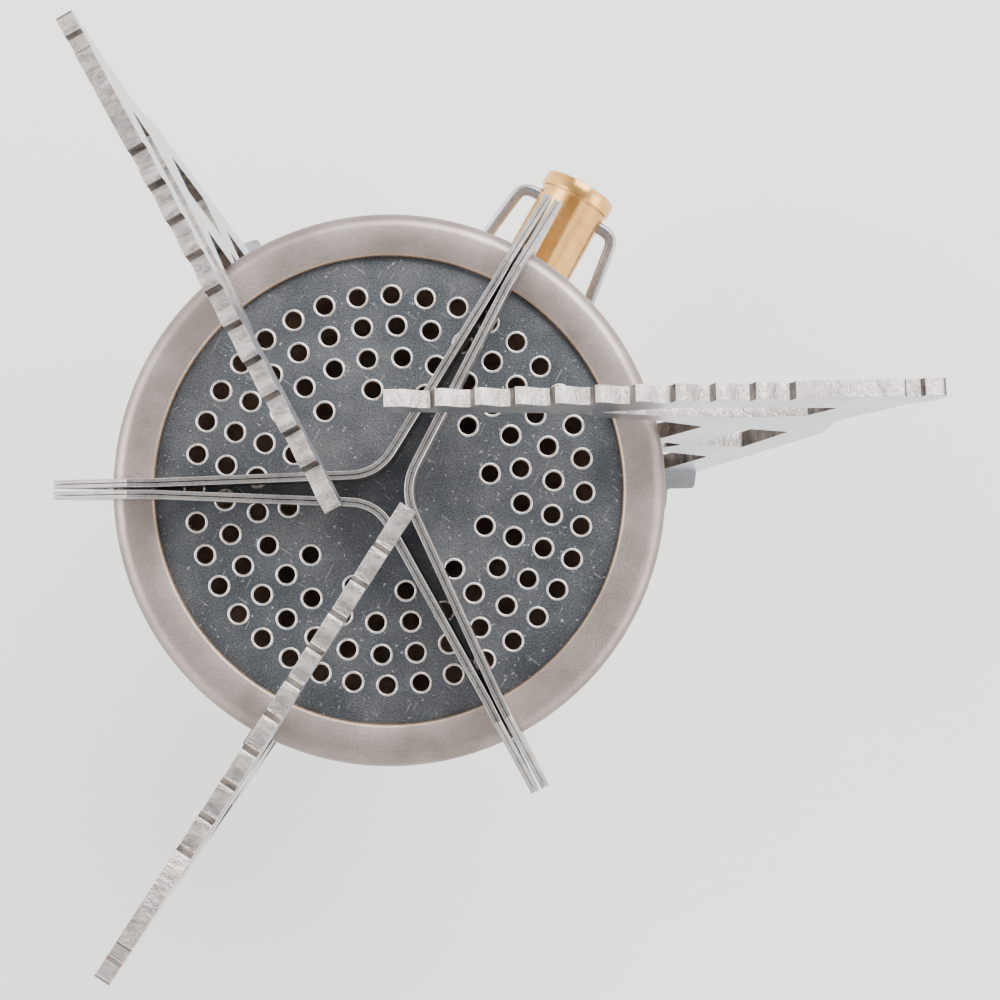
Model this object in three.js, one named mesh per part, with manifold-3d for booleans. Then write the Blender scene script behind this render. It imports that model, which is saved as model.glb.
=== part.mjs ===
// Folding gas stove that screws onto a canister: a perforated burner head on a mixing tube and valve,
// three serrated pot supports that swing on a hub, and a brass control barrel with a wire bail.
// Millimetres, Z up. The origin is the centre of the connector's bottom face, where it meets the canister.

import * as THREE from 'three';
import { mergeVertices } from 'three/addons/utils/BufferGeometryUtils.js';
import Module from 'manifold-3d';

const wasm = await Module();
wasm.setup();

// Driving dimensions
const GAP = 0.3;                  // clearance left between neighbouring pieces
const SEAT_RADIUS = 10.8;         // connector's bottom face
const SOCKET_RADIUS = 5.7;        // canister valve goes in here
const SOCKET_DEPTH = 8.2;
const CONNECTOR_TOP = 11;
const BODY_TOP = 33;              // valve body's top face
const TUBE_RADIUS = 5.6;          // mixing tube, outside
const TUBE_BORE = 4.7;
const TUBE_TOP = 57;
const AIR_HOLE_RADIUS = 1.8;
const AIR_HOLE_HEIGHT = 37.2;
const HUB_BOTTOM = 40;
const HUB_THICKNESS = 1.5;
const CUP_BOTTOM = 53.2;
const CUP_RADIUS = 27.8;
const PLATE_TOP = 72;             // top of the perforated burner plate
const PLATE_RADIUS = 26.8;
const PLATE_THICKNESS = 0.8;
const HOLE_RADIUS = 0.95;
const RIM_RADIUS = 30;
const RIM_LIP_RADIUS = 25.3;
const RIM_TOP = 73.1;

// Rings of flame holes: radius of the ring, number of holes and azimuth of the first one
const HOLE_RINGS = [
  { radius: 21.17, count: 36, start: 9.4 },
  { radius: 17.85, count: 30, start: 3.4 },
  { radius: 14.43, count: 24, start: 9.4 },
  { radius: 11.05, count: 12, start: 9.4 },
];

// Windshield divider: azimuths of its three arms, each made of the legs of two bent blades
const DIVIDER_ARMS = [60.6, 180, 296.8];
const BLADE_THICKNESS = 0.9;
const BLADE_TOP = 80;
const BLADE_REACH = 36.3;         // radius of an arm's end
const BLADE_CHANNEL = 1.4;        // half the distance between two legs near the centre
const BLADE_CLOSED = 0.6;         // the same where the legs lie against each other
const BLADE_CLOSES_AT = 24.5;     // radius where the legs meet

// Pot supports: azimuth of each and distance of its top edge from the stove's axis, which sets its lean
const SUPPORTS = [
  { azimuth: 1.2, topOffset: 8.9 },
  { azimuth: 118.6, topOffset: 5.4 },
  { azimuth: 237.1, topOffset: 3.3 },
];
const SUPPORT_THICKNESS = 1.8;
const SUPPORT_TOP = 88;
const SUPPORT_BOTTOM = 41.8;
const SUPPORT_OFFSET = 2.9;       // distance of a plate's bottom edge from the axis
const SUPPORT_REACH = 56.8;
const TOOTH_COUNT = 10;
const TOOTH_PITCH = 4.02;
const TOOTH_DEPTH = 1.1;
const PIVOT = { along: 29.5, across: -1.5 };  // rivet's place on a hub arm
const PIVOT_HOLE = 1.8;
const RIVET_RADIUS = 1.5;
const RIVET_HEAD = 2.4;
const FOOT_THICKNESS = 1.6;

// Control barrel and the parts on its axis
const BARREL_AZIMUTH = 60.5;
const BARREL_HEIGHT = 24;
const BARREL_RADIUS = 4.65;
const BARREL_START = 21.3;
const BARREL_END = 48;
const NEEDLE_RADIUS = 1.5;
const BAIL_PIVOT = 44.5;          // distance of the bail's pin from the stove's axis
const BAIL_PIN_HOLE = 1.1;
const BAIL_WIRE = 0.8;
const BAIL_DROOP = 17;            // degrees below the barrel's axis

// Materials
const titanium = { color: 0xb5aaa5, roughness: 0.4, metalness: 1 };
const steel = { color: 0xcfd1d3, roughness: 0.3, metalness: 1 };
const darkSteel = { color: 0x5f6a70, roughness: 0.5, metalness: 1 };
const brass = { color: 0xd2a45c, roughness: 0.3, metalness: 1 };
const alloy = { color: 0xb9bcc0, roughness: 0.45, metalness: 1 };
const rubber = { color: 0x1c1c1d, roughness: 0.8, metalness: 0 };

const radians = (degrees) => THREE.MathUtils.degToRad(degrees);

// A manifold-3d solid from a closed geometry
function solid(geometry) {
  geometry.deleteAttribute('normal');
  geometry.deleteAttribute('uv');
  const merged = mergeVertices(geometry, 1e-4);
  return new wasm.Manifold(new wasm.Mesh({
    numProp: 3,
    vertProperties: Float32Array.from(merged.attributes.position.array),
    triVerts: Uint32Array.from(merged.index.array),
  }));
}

function mesh(name, shape, finish) {
  const { vertProperties, triVerts } = shape.getMesh();
  const geometry = new THREE.BufferGeometry();
  geometry.setAttribute('position', new THREE.BufferAttribute(vertProperties, 3));
  geometry.setIndex(new THREE.BufferAttribute(triVerts, 1));
  geometry.computeVertexNormals();
  const piece = new THREE.Mesh(geometry, new THREE.MeshStandardMaterial(finish));
  piece.name = name;
  return piece;
}

// Turned piece about Z from [radius, height] pairs, listed with the material on their left
function turned(profile, sides = 36) {
  const points = profile.map(([radius, height]) => new THREE.Vector2(radius, height));
  return solid(new THREE.LatheGeometry(points, sides).rotateX(Math.PI / 2));
}

function turnedRing(profile, sides) {
  return turned([...profile, profile[0]], sides);
}

function rod(radius, bottom, top, sides = 24) {
  return turned([[0, bottom], [radius, bottom], [radius, top], [0, top]], sides);
}

function block(from, to) {
  const size = to.map((value, axis) => value - from[axis]);
  const middle = to.map((value, axis) => (value + from[axis]) / 2);
  return solid(new THREE.BoxGeometry(...size).translate(...middle));
}

function slab(points, bottom, top, holes = []) {
  const shape = new THREE.Shape(points.map(([x, y]) => new THREE.Vector2(x, y)));
  for (const hole of holes) shape.holes.push(new THREE.Path(hole.map(([x, y]) => new THREE.Vector2(x, y))));
  const geometry = new THREE.ExtrudeGeometry(shape, { depth: top - bottom, bevelEnabled: false });
  return solid(geometry.translate(0, 0, bottom));
}

function circle(x, y, radius, sides) {
  return Array.from({ length: sides }, (_, step) => {
    const angle = (step + 0.5) * 2 * Math.PI / sides;
    return [x + radius * Math.cos(angle), y + radius * Math.sin(angle)];
  });
}

// O-ring about Z
function seal(radius, height, section) {
  return turnedRing(circle(radius, height, section, 8), 20);
}

// Turns a piece made about Z so that it lies along X
const alongX = (shape) => shape.rotate([0, 90, 0]);

function canisterConnector() {
  return turnedRing([
    [SOCKET_RADIUS, 0.5], [SOCKET_RADIUS + 0.5, 0], [SEAT_RADIUS - 0.6, 0], [SEAT_RADIUS, 0.6], [SEAT_RADIUS, 6],
    [SEAT_RADIUS - 1.2, 7.2], [SEAT_RADIUS - 1.2, CONNECTOR_TOP], [1.2, CONNECTOR_TOP], [1.2, SOCKET_DEPTH],
    [SOCKET_RADIUS, SOCKET_DEPTH],
  ], 32);
}

// Hexagonal foot and round neck, bored upward for the gas and sideways for the needle and its gland
function valveBody() {
  const bottom = CONNECTOR_TOP + GAP;
  const side = (radius, from, to) => alongX(rod(radius, from, to)).translate([0, 0, BARREL_HEIGHT]);
  return rod(9.6, bottom, 17, 6)
    .add(rod(8, 16.5, BODY_TOP, 32))
    .add(side(6.2, 0, 15.5).rotate([0, 0, BARREL_AZIMUTH]))
    .subtract(rod(1.6, bottom - 1, BARREL_HEIGHT, 16))
    .subtract(rod(2.1, BARREL_HEIGHT - 0.5, 28.2, 16))
    .subtract(rod(3, 28, BODY_TOP + 1, 16))
    .subtract(side(2, 0.6, 11).rotate([0, 0, BARREL_AZIMUTH]))
    .subtract(side(3.5, 10, 16.5).rotate([0, 0, BARREL_AZIMUTH]));
}

function gasJet() {
  return turnedRing([[0.4, 28.3], [2.7, 28.3], [2.7, 34.4], [1.4, 35.6], [0.4, 35.6]], 16);
}

// Tube with a foot flange, a collar under the cup and four air holes above the jet
function mixingTube() {
  const bottom = BODY_TOP + GAP;
  const collar = CUP_BOTTOM - GAP;
  const wall = turnedRing([
    [TUBE_BORE, bottom], [8, bottom], [8, bottom + 1.2], [TUBE_RADIUS, bottom + 1.2], [TUBE_RADIUS, collar - 2.3],
    [8.2, collar - 2.3], [8.2, collar], [TUBE_RADIUS, collar], [TUBE_RADIUS, TUBE_TOP], [TUBE_BORE, TUBE_TOP],
  ], 32);
  const hole = alongX(rod(AIR_HOLE_RADIUS, -10, 10, 14)).translate([0, 0, AIR_HOLE_HEIGHT]);
  return wall.subtract(hole.rotate([0, 0, 20])).subtract(hole.rotate([0, 0, 110]));
}

// Pressed three-arm plate with a rivet hole near the end of each arm
function supportHub() {
  const top = HUB_BOTTOM + HUB_THICKNESS;
  const arm = [[0, -4.9], [30.6, -4.9], [32.6, -3], [32.9, 0], [31.4, 1.7], [0, 1.7]];
  const rivetHole = circle(PIVOT.along, PIVOT.across, PIVOT_HOLE, 16);
  let hub = rod(11, HUB_BOTTOM, top, 32);
  for (const { azimuth } of SUPPORTS) {
    hub = hub.add(slab(arm, HUB_BOTTOM, top).rotate([0, 0, azimuth]));
    hub = hub.subtract(slab(rivetHole, HUB_BOTTOM - 1, top + 1).rotate([0, 0, azimuth]));
  }
  return hub.subtract(rod(TUBE_RADIUS + GAP, HUB_BOTTOM - 1, top + 1));
}

function hubLockNut() {
  const bottom = HUB_BOTTOM + HUB_THICKNESS + GAP;
  const bore = rod(TUBE_RADIUS + GAP, bottom - 1, bottom + 3.5);
  return rod(9, bottom, bottom + 2.5, 6).subtract(bore);
}

// Funnel with a straight wall, a ledge for the plate and an outward flange for the rim to grip
function burnerCup() {
  const wall = CUP_RADIUS - 1.3;
  const ledge = PLATE_TOP - PLATE_THICKNESS - GAP;
  return turnedRing([
    [TUBE_RADIUS + GAP, CUP_BOTTOM], [9, CUP_BOTTOM], [25.5, 60.4], [CUP_RADIUS, 62.6], [CUP_RADIUS, ledge - 0.2],
    [29, ledge - 0.2], [29, ledge + 0.5], [PLATE_RADIUS + GAP, ledge + 0.5], [PLATE_RADIUS + GAP, ledge],
    [wall, ledge], [wall, 62.9], [24.9, 61.6], [8.7, CUP_BOTTOM + 0.9], [TUBE_RADIUS + GAP, CUP_BOTTOM + 0.9],
  ], 40);
}

// Disc on three legs that spreads the gas above the tube
function diffuser() {
  let cap = rod(10, 61, 61.8);
  for (const azimuth of [30, 150, 270]) {
    const leg = block([TUBE_BORE + 0.1, -1, TUBE_TOP + GAP], [TUBE_RADIUS - 0.1, 1, 61.4]);
    cap = cap.add(leg.rotate([0, 0, azimuth]));
  }
  return cap;
}

function burnerPlate() {
  const holes = [];
  for (const { radius, count, start } of HOLE_RINGS) {
    for (let index = 0; index < count; index += 1) {
      const angle = radians(start + index * 360 / count);
      holes.push(circle(radius * Math.cos(angle), radius * Math.sin(angle), HOLE_RADIUS, 8));
    }
  }
  return slab(circle(0, 0, PLATE_RADIUS, 48), PLATE_TOP - PLATE_THICKNESS, PLATE_TOP, holes);
}

// Flat lip over the plate's edge, rolled down round the outside
function rimRing() {
  const under = PLATE_TOP + GAP;
  const inside = RIM_RADIUS - 0.7;
  return turnedRing([
    [RIM_LIP_RADIUS, under], [28.5, under], [inside, 71.6], [inside, 70.2], [RIM_RADIUS - 0.3, 70.2],
    [RIM_RADIUS, 70.6], [RIM_RADIUS, 71.6], [RIM_RADIUS - 0.15, 72.2], [RIM_RADIUS - 0.6, 72.75],
    [RIM_RADIUS - 1.4, RIM_TOP], [RIM_LIP_RADIUS, RIM_TOP],
  ], 48);
}

// Outline of a strip of constant thickness along a chain of points
function ribbon(points, thickness) {
  const sides = [[], []];
  points.forEach(([x, y], index) => {
    const before = points[Math.max(index - 1, 0)];
    const after = points[Math.min(index + 1, points.length - 1)];
    const length = Math.hypot(after[0] - before[0], after[1] - before[1]);
    const normal = [-(after[1] - before[1]) / length, (after[0] - before[0]) / length];
    sides[0].push([x + normal[0] * thickness / 2, y + normal[1] * thickness / 2]);
    sides[1].unshift([x - normal[0] * thickness / 2, y - normal[1] * thickness / 2]);
  });
  return [...sides[1], ...sides[0]];
}

// One bent blade between two arms; the turned envelope gives every blade its height and its stepped ends
function dividerBlade(firstArm, secondArm) {
  const onArm = (azimuth, along, across) => {
    const angle = radians(azimuth);
    return [along * Math.cos(angle) - across * Math.sin(angle), along * Math.sin(angle) + across * Math.cos(angle)];
  };
  const stations = [[BLADE_REACH + 1, BLADE_CLOSED], [BLADE_CLOSES_AT, BLADE_CLOSED], [3, BLADE_CHANNEL]];
  const first = stations.map(([along, across]) => onArm(firstArm, along, across));
  const second = stations.map(([along, across]) => onArm(secondArm, along, -across));
  const bisector = radians((firstArm + secondArm) / 2);
  const bend = [2.05 * Math.cos(bisector), 2.05 * Math.sin(bisector)];
  const strip = slab(ribbon([...first, bend, ...second.reverse()], BLADE_THICKNESS), 60, 90);
  const clearOfRim = RIM_TOP + GAP;
  const envelope = turned([
    [0, PLATE_TOP + GAP], [RIM_LIP_RADIUS - GAP, PLATE_TOP + GAP], [RIM_LIP_RADIUS - GAP, clearOfRim],
    [RIM_RADIUS + 0.4, clearOfRim], [RIM_RADIUS + 0.4, 67.5], [32, 67.5], [BLADE_REACH, 70.5],
    [BLADE_REACH, 72.6], [31.7, 76.2], [27, BLADE_TOP], [0, BLADE_TOP],
  ], 64);
  return strip.intersect(envelope);
}

// Teeth along a support's top edge: each falls gently outward and rises steeply
function teeth(start, top) {
  const points = [];
  for (let index = 0; index < TOOTH_COUNT; index += 1) {
    const at = start + index * TOOTH_PITCH;
    points.push([at + 0.35, top], [at + 1.5, top - 0.7 * TOOTH_DEPTH], [at + 2.9, top - TOOTH_DEPTH], [at + 3.6, top]);
  }
  return points;
}

// Truss plate in its own plane, x outward from the axis and y up from its bottom edge
function supportOutline() {
  const top = SUPPORT_TOP - SUPPORT_BOTTOM;
  return [
    [0.3, top], ...teeth(1.8, top), [52.6, top], [52.9, top - 0.5], [54.3, top - 0.5], [54.7, top + 0.2],
    [56, top + 0.2], [SUPPORT_REACH, top - 0.8], [SUPPORT_REACH - 0.2, top - 2.4], [52.6, 39.6], [49.8, 36.3],
    [47.9, 32.7], [48.2, 27.3], [36.9, 1.4], [36.4, 0], [29.2, 0], [29.2, 24.4], [30.1, 25.2], [34, 31.8],
    [28.6, 35.9], [24, 37.5], [21.2, 39.2], [20.5, 40.8], [19.2, 40.6], [12, 41.8], [0.8, 43.2], [0.3, 43.7],
  ].reverse();
}

const TRUSS_OPENINGS = [
  [[22.4, 41], [29, 42.4], [38.8, 41.7], [46.9, 40.7], [44.2, 36.8], [36.3, 36.7], [29, 38.4]],
  [[34.6, 21], [39, 30], [43.9, 27.7], [40, 18.4]],
  [[30.8, 17], [36.9, 12.7], [32.5, 4.2], [30.8, 4.2]],
  [[30.8, 22.8], [33, 21], [30.8, 19.3]],
];

function potSupport(topOffset) {
  const half = SUPPORT_THICKNESS / 2;
  const lean = Math.atan((topOffset - SUPPORT_OFFSET) / (SUPPORT_TOP - SUPPORT_BOTTOM));
  const plate = slab(supportOutline(), -half, half, TRUSS_OPENINGS)
    .rotate([90 - THREE.MathUtils.radToDeg(lean), 0, 0])
    .translate([0, SUPPORT_OFFSET, SUPPORT_BOTTOM]);
  const foot = slab(
    [
      [36.9, SUPPORT_OFFSET], [28.2, SUPPORT_OFFSET], [26.4, 1.2], [25.9, -1.5], [27, -4.2], [29.5, -5.1],
      [31.6, -4.4], [33, -2], [33.2, 0.2], [36.5, 0.2],
    ],
    SUPPORT_BOTTOM, SUPPORT_BOTTOM + FOOT_THICKNESS,
    [circle(PIVOT.along, PIVOT.across, PIVOT_HOLE, 16)],
  );
  const below = block([20, -8, SUPPORT_BOTTOM - 5], [60, 8, SUPPORT_BOTTOM]);
  return plate.add(foot).subtract(below);
}

function supportRivet() {
  const under = HUB_BOTTOM - GAP;
  const over = SUPPORT_BOTTOM + FOOT_THICKNESS + 1.1;
  return turned([
    [0, under - 1], [RIVET_HEAD - 0.5, under - 1], [RIVET_HEAD, under - 0.5], [RIVET_HEAD, under],
    [RIVET_RADIUS, under], [RIVET_RADIUS, over], [RIVET_HEAD, over], [RIVET_HEAD, over + 0.4],
    [RIVET_HEAD - 0.6, over + 0.9], [0, over + 0.9],
  ], 12);
}

function springWasher() {
  const bottom = SUPPORT_BOTTOM + FOOT_THICKNESS + GAP;
  return turnedRing([[1.8, bottom], [2.6, bottom], [2.6, bottom + 0.3], [1.8, bottom + 0.5]], 16);
}

function valveNeedle() {
  return alongX(turned([[0, 2.3], [0.3, 2.3], [1.3, 4.6], [NEEDLE_RADIUS, 5], [NEEDLE_RADIUS, 30], [0, 30]], 16));
}

// Hexagonal nut with a spigot that presses the O-ring into the valve body
function glandNut() {
  const nut = rod(6, 15.8, 20.8, 6).add(rod(3.1, 13.6, 16, 20));
  return alongX(nut.subtract(rod(1.9, 13, 21.5, 16)));
}

// Brass barrel with a blind bore for the needle, a collar at its far end and a cross hole for the bail
function controlKnob() {
  const collar = BARREL_RADIUS + 0.35;
  const barrel = alongX(turned([
    [0, 30.6], [NEEDLE_RADIUS + GAP, 30.6], [NEEDLE_RADIUS + GAP, BARREL_START], [BARREL_RADIUS - 0.5, BARREL_START],
    [BARREL_RADIUS, BARREL_START + 0.5], [BARREL_RADIUS, 45.8], [collar, 46.1], [collar, BARREL_END - 0.4],
    [collar - 0.4, BARREL_END], [0, BARREL_END],
  ], 32));
  const crossHole = rod(BAIL_PIN_HOLE, -8, 8, 16).rotate([90, 0, 0]).translate([BAIL_PIVOT, 0, 0]);
  return barrel.subtract(crossHole);
}

// Wire bail: two pin ends in the barrel, legs that spread towards the burner, and a closed far end
function bailHandle() {
  const side = [[0, 2.4], [0, 5.6], [0.35, 6.75], [1.5, 7.2], [10, 8.4], [20, 9.8], [24.4, 9.6], [26.6, 7.7], [27, 5]];
  const place = ([back, across]) => new THREE.Vector3(-back, across, 0);
  const path = new THREE.CatmullRomCurve3([
    ...side.map(place),
    ...side.map(([back, across]) => place([back, -across])).reverse(),
  ]);
  const section = new THREE.Shape(circle(0, 0, BAIL_WIRE, 8).map(([x, y]) => new THREE.Vector2(x, y)));
  const wire = solid(new THREE.ExtrudeGeometry(section, { steps: 44, extrudePath: path }));
  return wire.rotate([0, -BAIL_DROOP, 0]).translate([BAIL_PIVOT, 0, 0]);
}

const stove = new THREE.Group();

stove.add(
  mesh('canister_connector', canisterConnector(), alloy),
  mesh('connector_seal', seal(4.5, 7.1, 0.8), rubber),
  mesh('pin_depressor', rod(0.9, 5, 10.7, 12), brass),
  mesh('valve_body', valveBody(), alloy),
  mesh('jet_filter', rod(1.8, 25.4, 27.8, 12), brass),
  mesh('gas_jet', gasJet(), brass),
  mesh('mixing_tube', mixingTube(), steel),
  mesh('support_hub', supportHub(), steel),
  mesh('hub_lock_nut', hubLockNut(), alloy),
  mesh('burner_cup', burnerCup(), titanium),
  mesh('diffuser', diffuser(), steel),
  mesh('burner_plate', burnerPlate(), darkSteel),
  mesh('rim_ring', rimRing(), titanium),
);

DIVIDER_ARMS.forEach((azimuth, index) => {
  const next = index + 1 < DIVIDER_ARMS.length ? DIVIDER_ARMS[index + 1] : DIVIDER_ARMS[0] + 360;
  stove.add(mesh(`divider_blade_${index + 1}`, dividerBlade(azimuth, next), steel));
});

SUPPORTS.forEach(({ azimuth, topOffset }, index) => {
  const arm = new THREE.Group();
  arm.rotation.z = radians(azimuth);
  const support = mesh(`pot_support_${index + 1}`, potSupport(topOffset), titanium);
  const rivet = mesh(`support_rivet_${index + 1}`, supportRivet(), steel);
  const washer = mesh(`spring_washer_${index + 1}`, springWasher(), steel);
  rivet.position.set(PIVOT.along, PIVOT.across, 0);
  washer.position.set(PIVOT.along, PIVOT.across, 0);
  arm.add(support, rivet, washer);
  stove.add(arm);
});

const controls = new THREE.Group();
controls.rotation.z = radians(BARREL_AZIMUTH);
controls.position.z = BARREL_HEIGHT;
controls.add(
  mesh('valve_needle', valveNeedle(), steel),
  mesh('spindle_o_ring', alongX(seal(2.6, 12.3, 0.6)), rubber),
  mesh('gland_nut', glandNut(), brass),
  mesh('control_knob', controlKnob(), brass),
  mesh('bail_handle', bailHandle(), steel),
);
stove.add(controls);

export default stove;
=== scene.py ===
"""Canister-top camping stove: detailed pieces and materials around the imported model."""
import math

import bmesh
import bpy
from mathutils import Matrix, Vector


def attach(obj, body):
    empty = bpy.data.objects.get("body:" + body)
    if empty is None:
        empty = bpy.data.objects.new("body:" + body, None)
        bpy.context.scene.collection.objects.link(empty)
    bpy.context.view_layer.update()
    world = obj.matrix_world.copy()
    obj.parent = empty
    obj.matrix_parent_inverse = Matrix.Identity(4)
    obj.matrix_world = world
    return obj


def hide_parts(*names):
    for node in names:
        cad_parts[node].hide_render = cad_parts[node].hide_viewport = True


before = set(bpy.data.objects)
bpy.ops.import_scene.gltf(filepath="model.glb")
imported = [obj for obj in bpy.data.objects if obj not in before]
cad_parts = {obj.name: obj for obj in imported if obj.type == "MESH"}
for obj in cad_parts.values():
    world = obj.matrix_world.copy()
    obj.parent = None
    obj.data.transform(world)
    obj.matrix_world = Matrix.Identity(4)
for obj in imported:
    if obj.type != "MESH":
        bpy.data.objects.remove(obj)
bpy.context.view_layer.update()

MM = 0.001

# Sizes in millimetres. Azimuths are in degrees from +X about +Z.
PLATE_TOP = 72.0
PLATE_THICKNESS = 0.8
PLATE_RADIUS = 26.8
HOLE_RADIUS = 0.93
HOLE_LIP = 1.23
# Each ring of flame holes: its radius, the number of holes and the first hole's azimuth
HOLE_RINGS = ((21.17, 36, 9.4), (17.85, 30, 3.4), (14.43, 24, 9.4), (11.05, 12, 9.4))
RIM_RADIUS = 30.0
RIM_LIP_RADIUS = 25.3
RIM_TOP = 73.1
CUP_BOTTOM = 53.2
CUP_RADIUS = 27.8
TUBE_RADIUS = 5.6
TUBE_BORE = 4.7
AIR_HOLE_RADIUS = 1.8
AIR_HOLE_HEIGHT = 37.2
AIR_HOLE_AZIMUTHS = (20, 110)
HUB_BOTTOM = 40.0
HUB_TOP = 41.5

DIVIDER_ARMS = (60.6, 180.0, 296.8)
SHEET = 0.41                # one layer of a blade
SHEET_GAP = 0.08            # seam between its two layers
BLADE_REACH = 36.3
BLADE_TOP = 80.0
CHANNEL = 1.4               # from an arm's centre line to a leg's, near the middle
CHANNEL_CLOSED = 0.6        # the same where the two legs lie together
CHANNEL_CLOSES_AT = 24.5
LEG_START = 4.0             # where a leg leaves the bend, from the axis
BEND_CORNER = 1.656         # control point of the bend, from the axis

# Each support: its azimuth and how far its top edge stands to one side of the axis
SUPPORTS = ((1.2, 8.9), (118.6, 5.4), (237.1, 3.3))
SUPPORT_THICKNESS = 1.8
SUPPORT_BOTTOM = 41.8
SUPPORT_HEIGHT = 46.2
SUPPORT_OFFSET = 2.9
FOOT_THICKNESS = 1.6
TOOTH_COUNT = 10
TOOTH_PITCH = 4.02
TOOTH_DEPTH = 1.1
PIVOT = (29.5, -1.5)  # of a support, before it is turned to its azimuth

BARREL_AZIMUTH = 60.5
BARREL_HEIGHT = 24.0
BARREL_RADIUS = 4.65
BARREL_START = 21.3
BARREL_END = 48.0
BAIL_PIVOT = 44.5
BAIL_DROOP = 17.0


# ---------------------------------------------------------------- materials

def nodes_of(name):
    """A new material, its node tree and its shader."""
    material = bpy.data.materials.new(name)
    material.use_nodes = True
    tree = material.node_tree
    shader = tree.nodes["Principled BSDF"]
    return material, tree, shader


def place_texture(tree, stretch=(1, 1, 1), attribute=None, turn=0.0, shift=0.0):
    """Coordinates in millimetres, in the object's frame or in a piece's own stored frame."""
    if attribute:
        source = tree.nodes.new("ShaderNodeAttribute")
        source.attribute_name = attribute
        out = source.outputs["Vector"]
        scale = stretch
    else:
        source = tree.nodes.new("ShaderNodeTexCoord")
        out = source.outputs["Object"]
        scale = [value / MM for value in stretch]
    if turn:
        spin = tree.nodes.new("ShaderNodeVectorRotate")
        spin.rotation_type = "Z_AXIS"
        spin.inputs["Angle"].default_value = math.radians(turn)
        tree.links.new(out, spin.inputs["Vector"])
        out = spin.outputs["Vector"]
    mapping = tree.nodes.new("ShaderNodeMapping")
    mapping.inputs["Scale"].default_value = scale
    mapping.inputs["Location"].default_value = (shift, shift, 0)
    tree.links.new(out, mapping.inputs["Vector"])
    return mapping.outputs["Vector"]


def noise(tree, vector, scale, detail=3.0, roughness=0.55):
    """Noise about 0.5 with a grain of about 1 / scale millimetres."""
    node = tree.nodes.new("ShaderNodeTexNoise")
    node.inputs["Scale"].default_value = scale
    node.inputs["Detail"].default_value = detail
    node.inputs["Roughness"].default_value = roughness
    tree.links.new(vector, node.inputs["Vector"])
    return node.outputs["Fac"]


def ramp(tree, value, stops):
    """Colours from (position, colour) stops."""
    node = tree.nodes.new("ShaderNodeValToRGB")
    elements = node.color_ramp.elements
    while len(elements) < len(stops):
        elements.new(0.5)
    for element, (position, color) in zip(elements, stops):
        element.position = position
        element.color = (*color, 1.0)
    tree.links.new(value, node.inputs["Fac"])
    return node.outputs["Color"]


def blend(tree, mode, factor, first, second):
    """Mixes two colours, each given as a colour or as another node's output."""
    node = tree.nodes.new("ShaderNodeMix")
    node.data_type = "RGBA"
    node.blend_type = mode
    for key, value in (("Factor", factor), ("A", first), ("B", second)):
        socket = [s for s in node.inputs if s.name == key and (s.type == "RGBA" or key == "Factor")][0]
        if isinstance(value, bpy.types.NodeSocket):
            tree.links.new(value, socket)
        else:
            socket.default_value = value if key == "Factor" else (*value, 1.0)
    return [s for s in node.outputs if s.type == "RGBA"][0]


def spread(tree, value, low, high, in_low=0.3, in_high=0.7):
    """Maps a value between in_low and in_high to low and high, and holds it there outside them."""
    node = tree.nodes.new("ShaderNodeMapRange")
    node.inputs["From Min"].default_value = in_low
    node.inputs["From Max"].default_value = in_high
    node.inputs["To Min"].default_value = low
    node.inputs["To Max"].default_value = high
    tree.links.new(value, node.inputs["Value"])
    return node.outputs["Result"]


def bump(tree, shader, height, strength, distance):
    """Surface relief; the distance is in millimetres."""
    node = tree.nodes.new("ShaderNodeBump")
    node.inputs["Strength"].default_value = strength
    node.inputs["Distance"].default_value = distance * MM
    tree.links.new(height, node.inputs["Height"])
    tree.links.new(node.outputs["Normal"], shader.inputs["Normal"])


def metal(name, dark, light, rough, patch=0.25, grain=4.0, stretch=(1, 1, 1), bump_strength=0.15,
          bump_depth=0.02, attribute=None):
    """Metal with soft patches of tone, a finer grain that also breaks up the gloss, and a slight bump."""
    material, tree, shader = nodes_of(name)
    shader.inputs["Metallic"].default_value = 1.0
    vector = place_texture(tree, stretch, attribute)
    patches = noise(tree, vector, patch, 4.0)
    fine = noise(tree, vector, grain, 4.0, 0.65)
    tone = ramp(tree, patches, ((0.32, dark), (0.68, light)))
    grey = ramp(tree, fine, ((0.3, (0.86, 0.86, 0.86)), (0.7, (1.0, 1.0, 1.0))))
    tree.links.new(blend(tree, "MULTIPLY", 1.0, tone, grey), shader.inputs["Base Color"])
    tree.links.new(spread(tree, fine, rough[0], rough[1]), shader.inputs["Roughness"])
    bump(tree, shader, fine, bump_strength, bump_depth)
    return material


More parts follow.
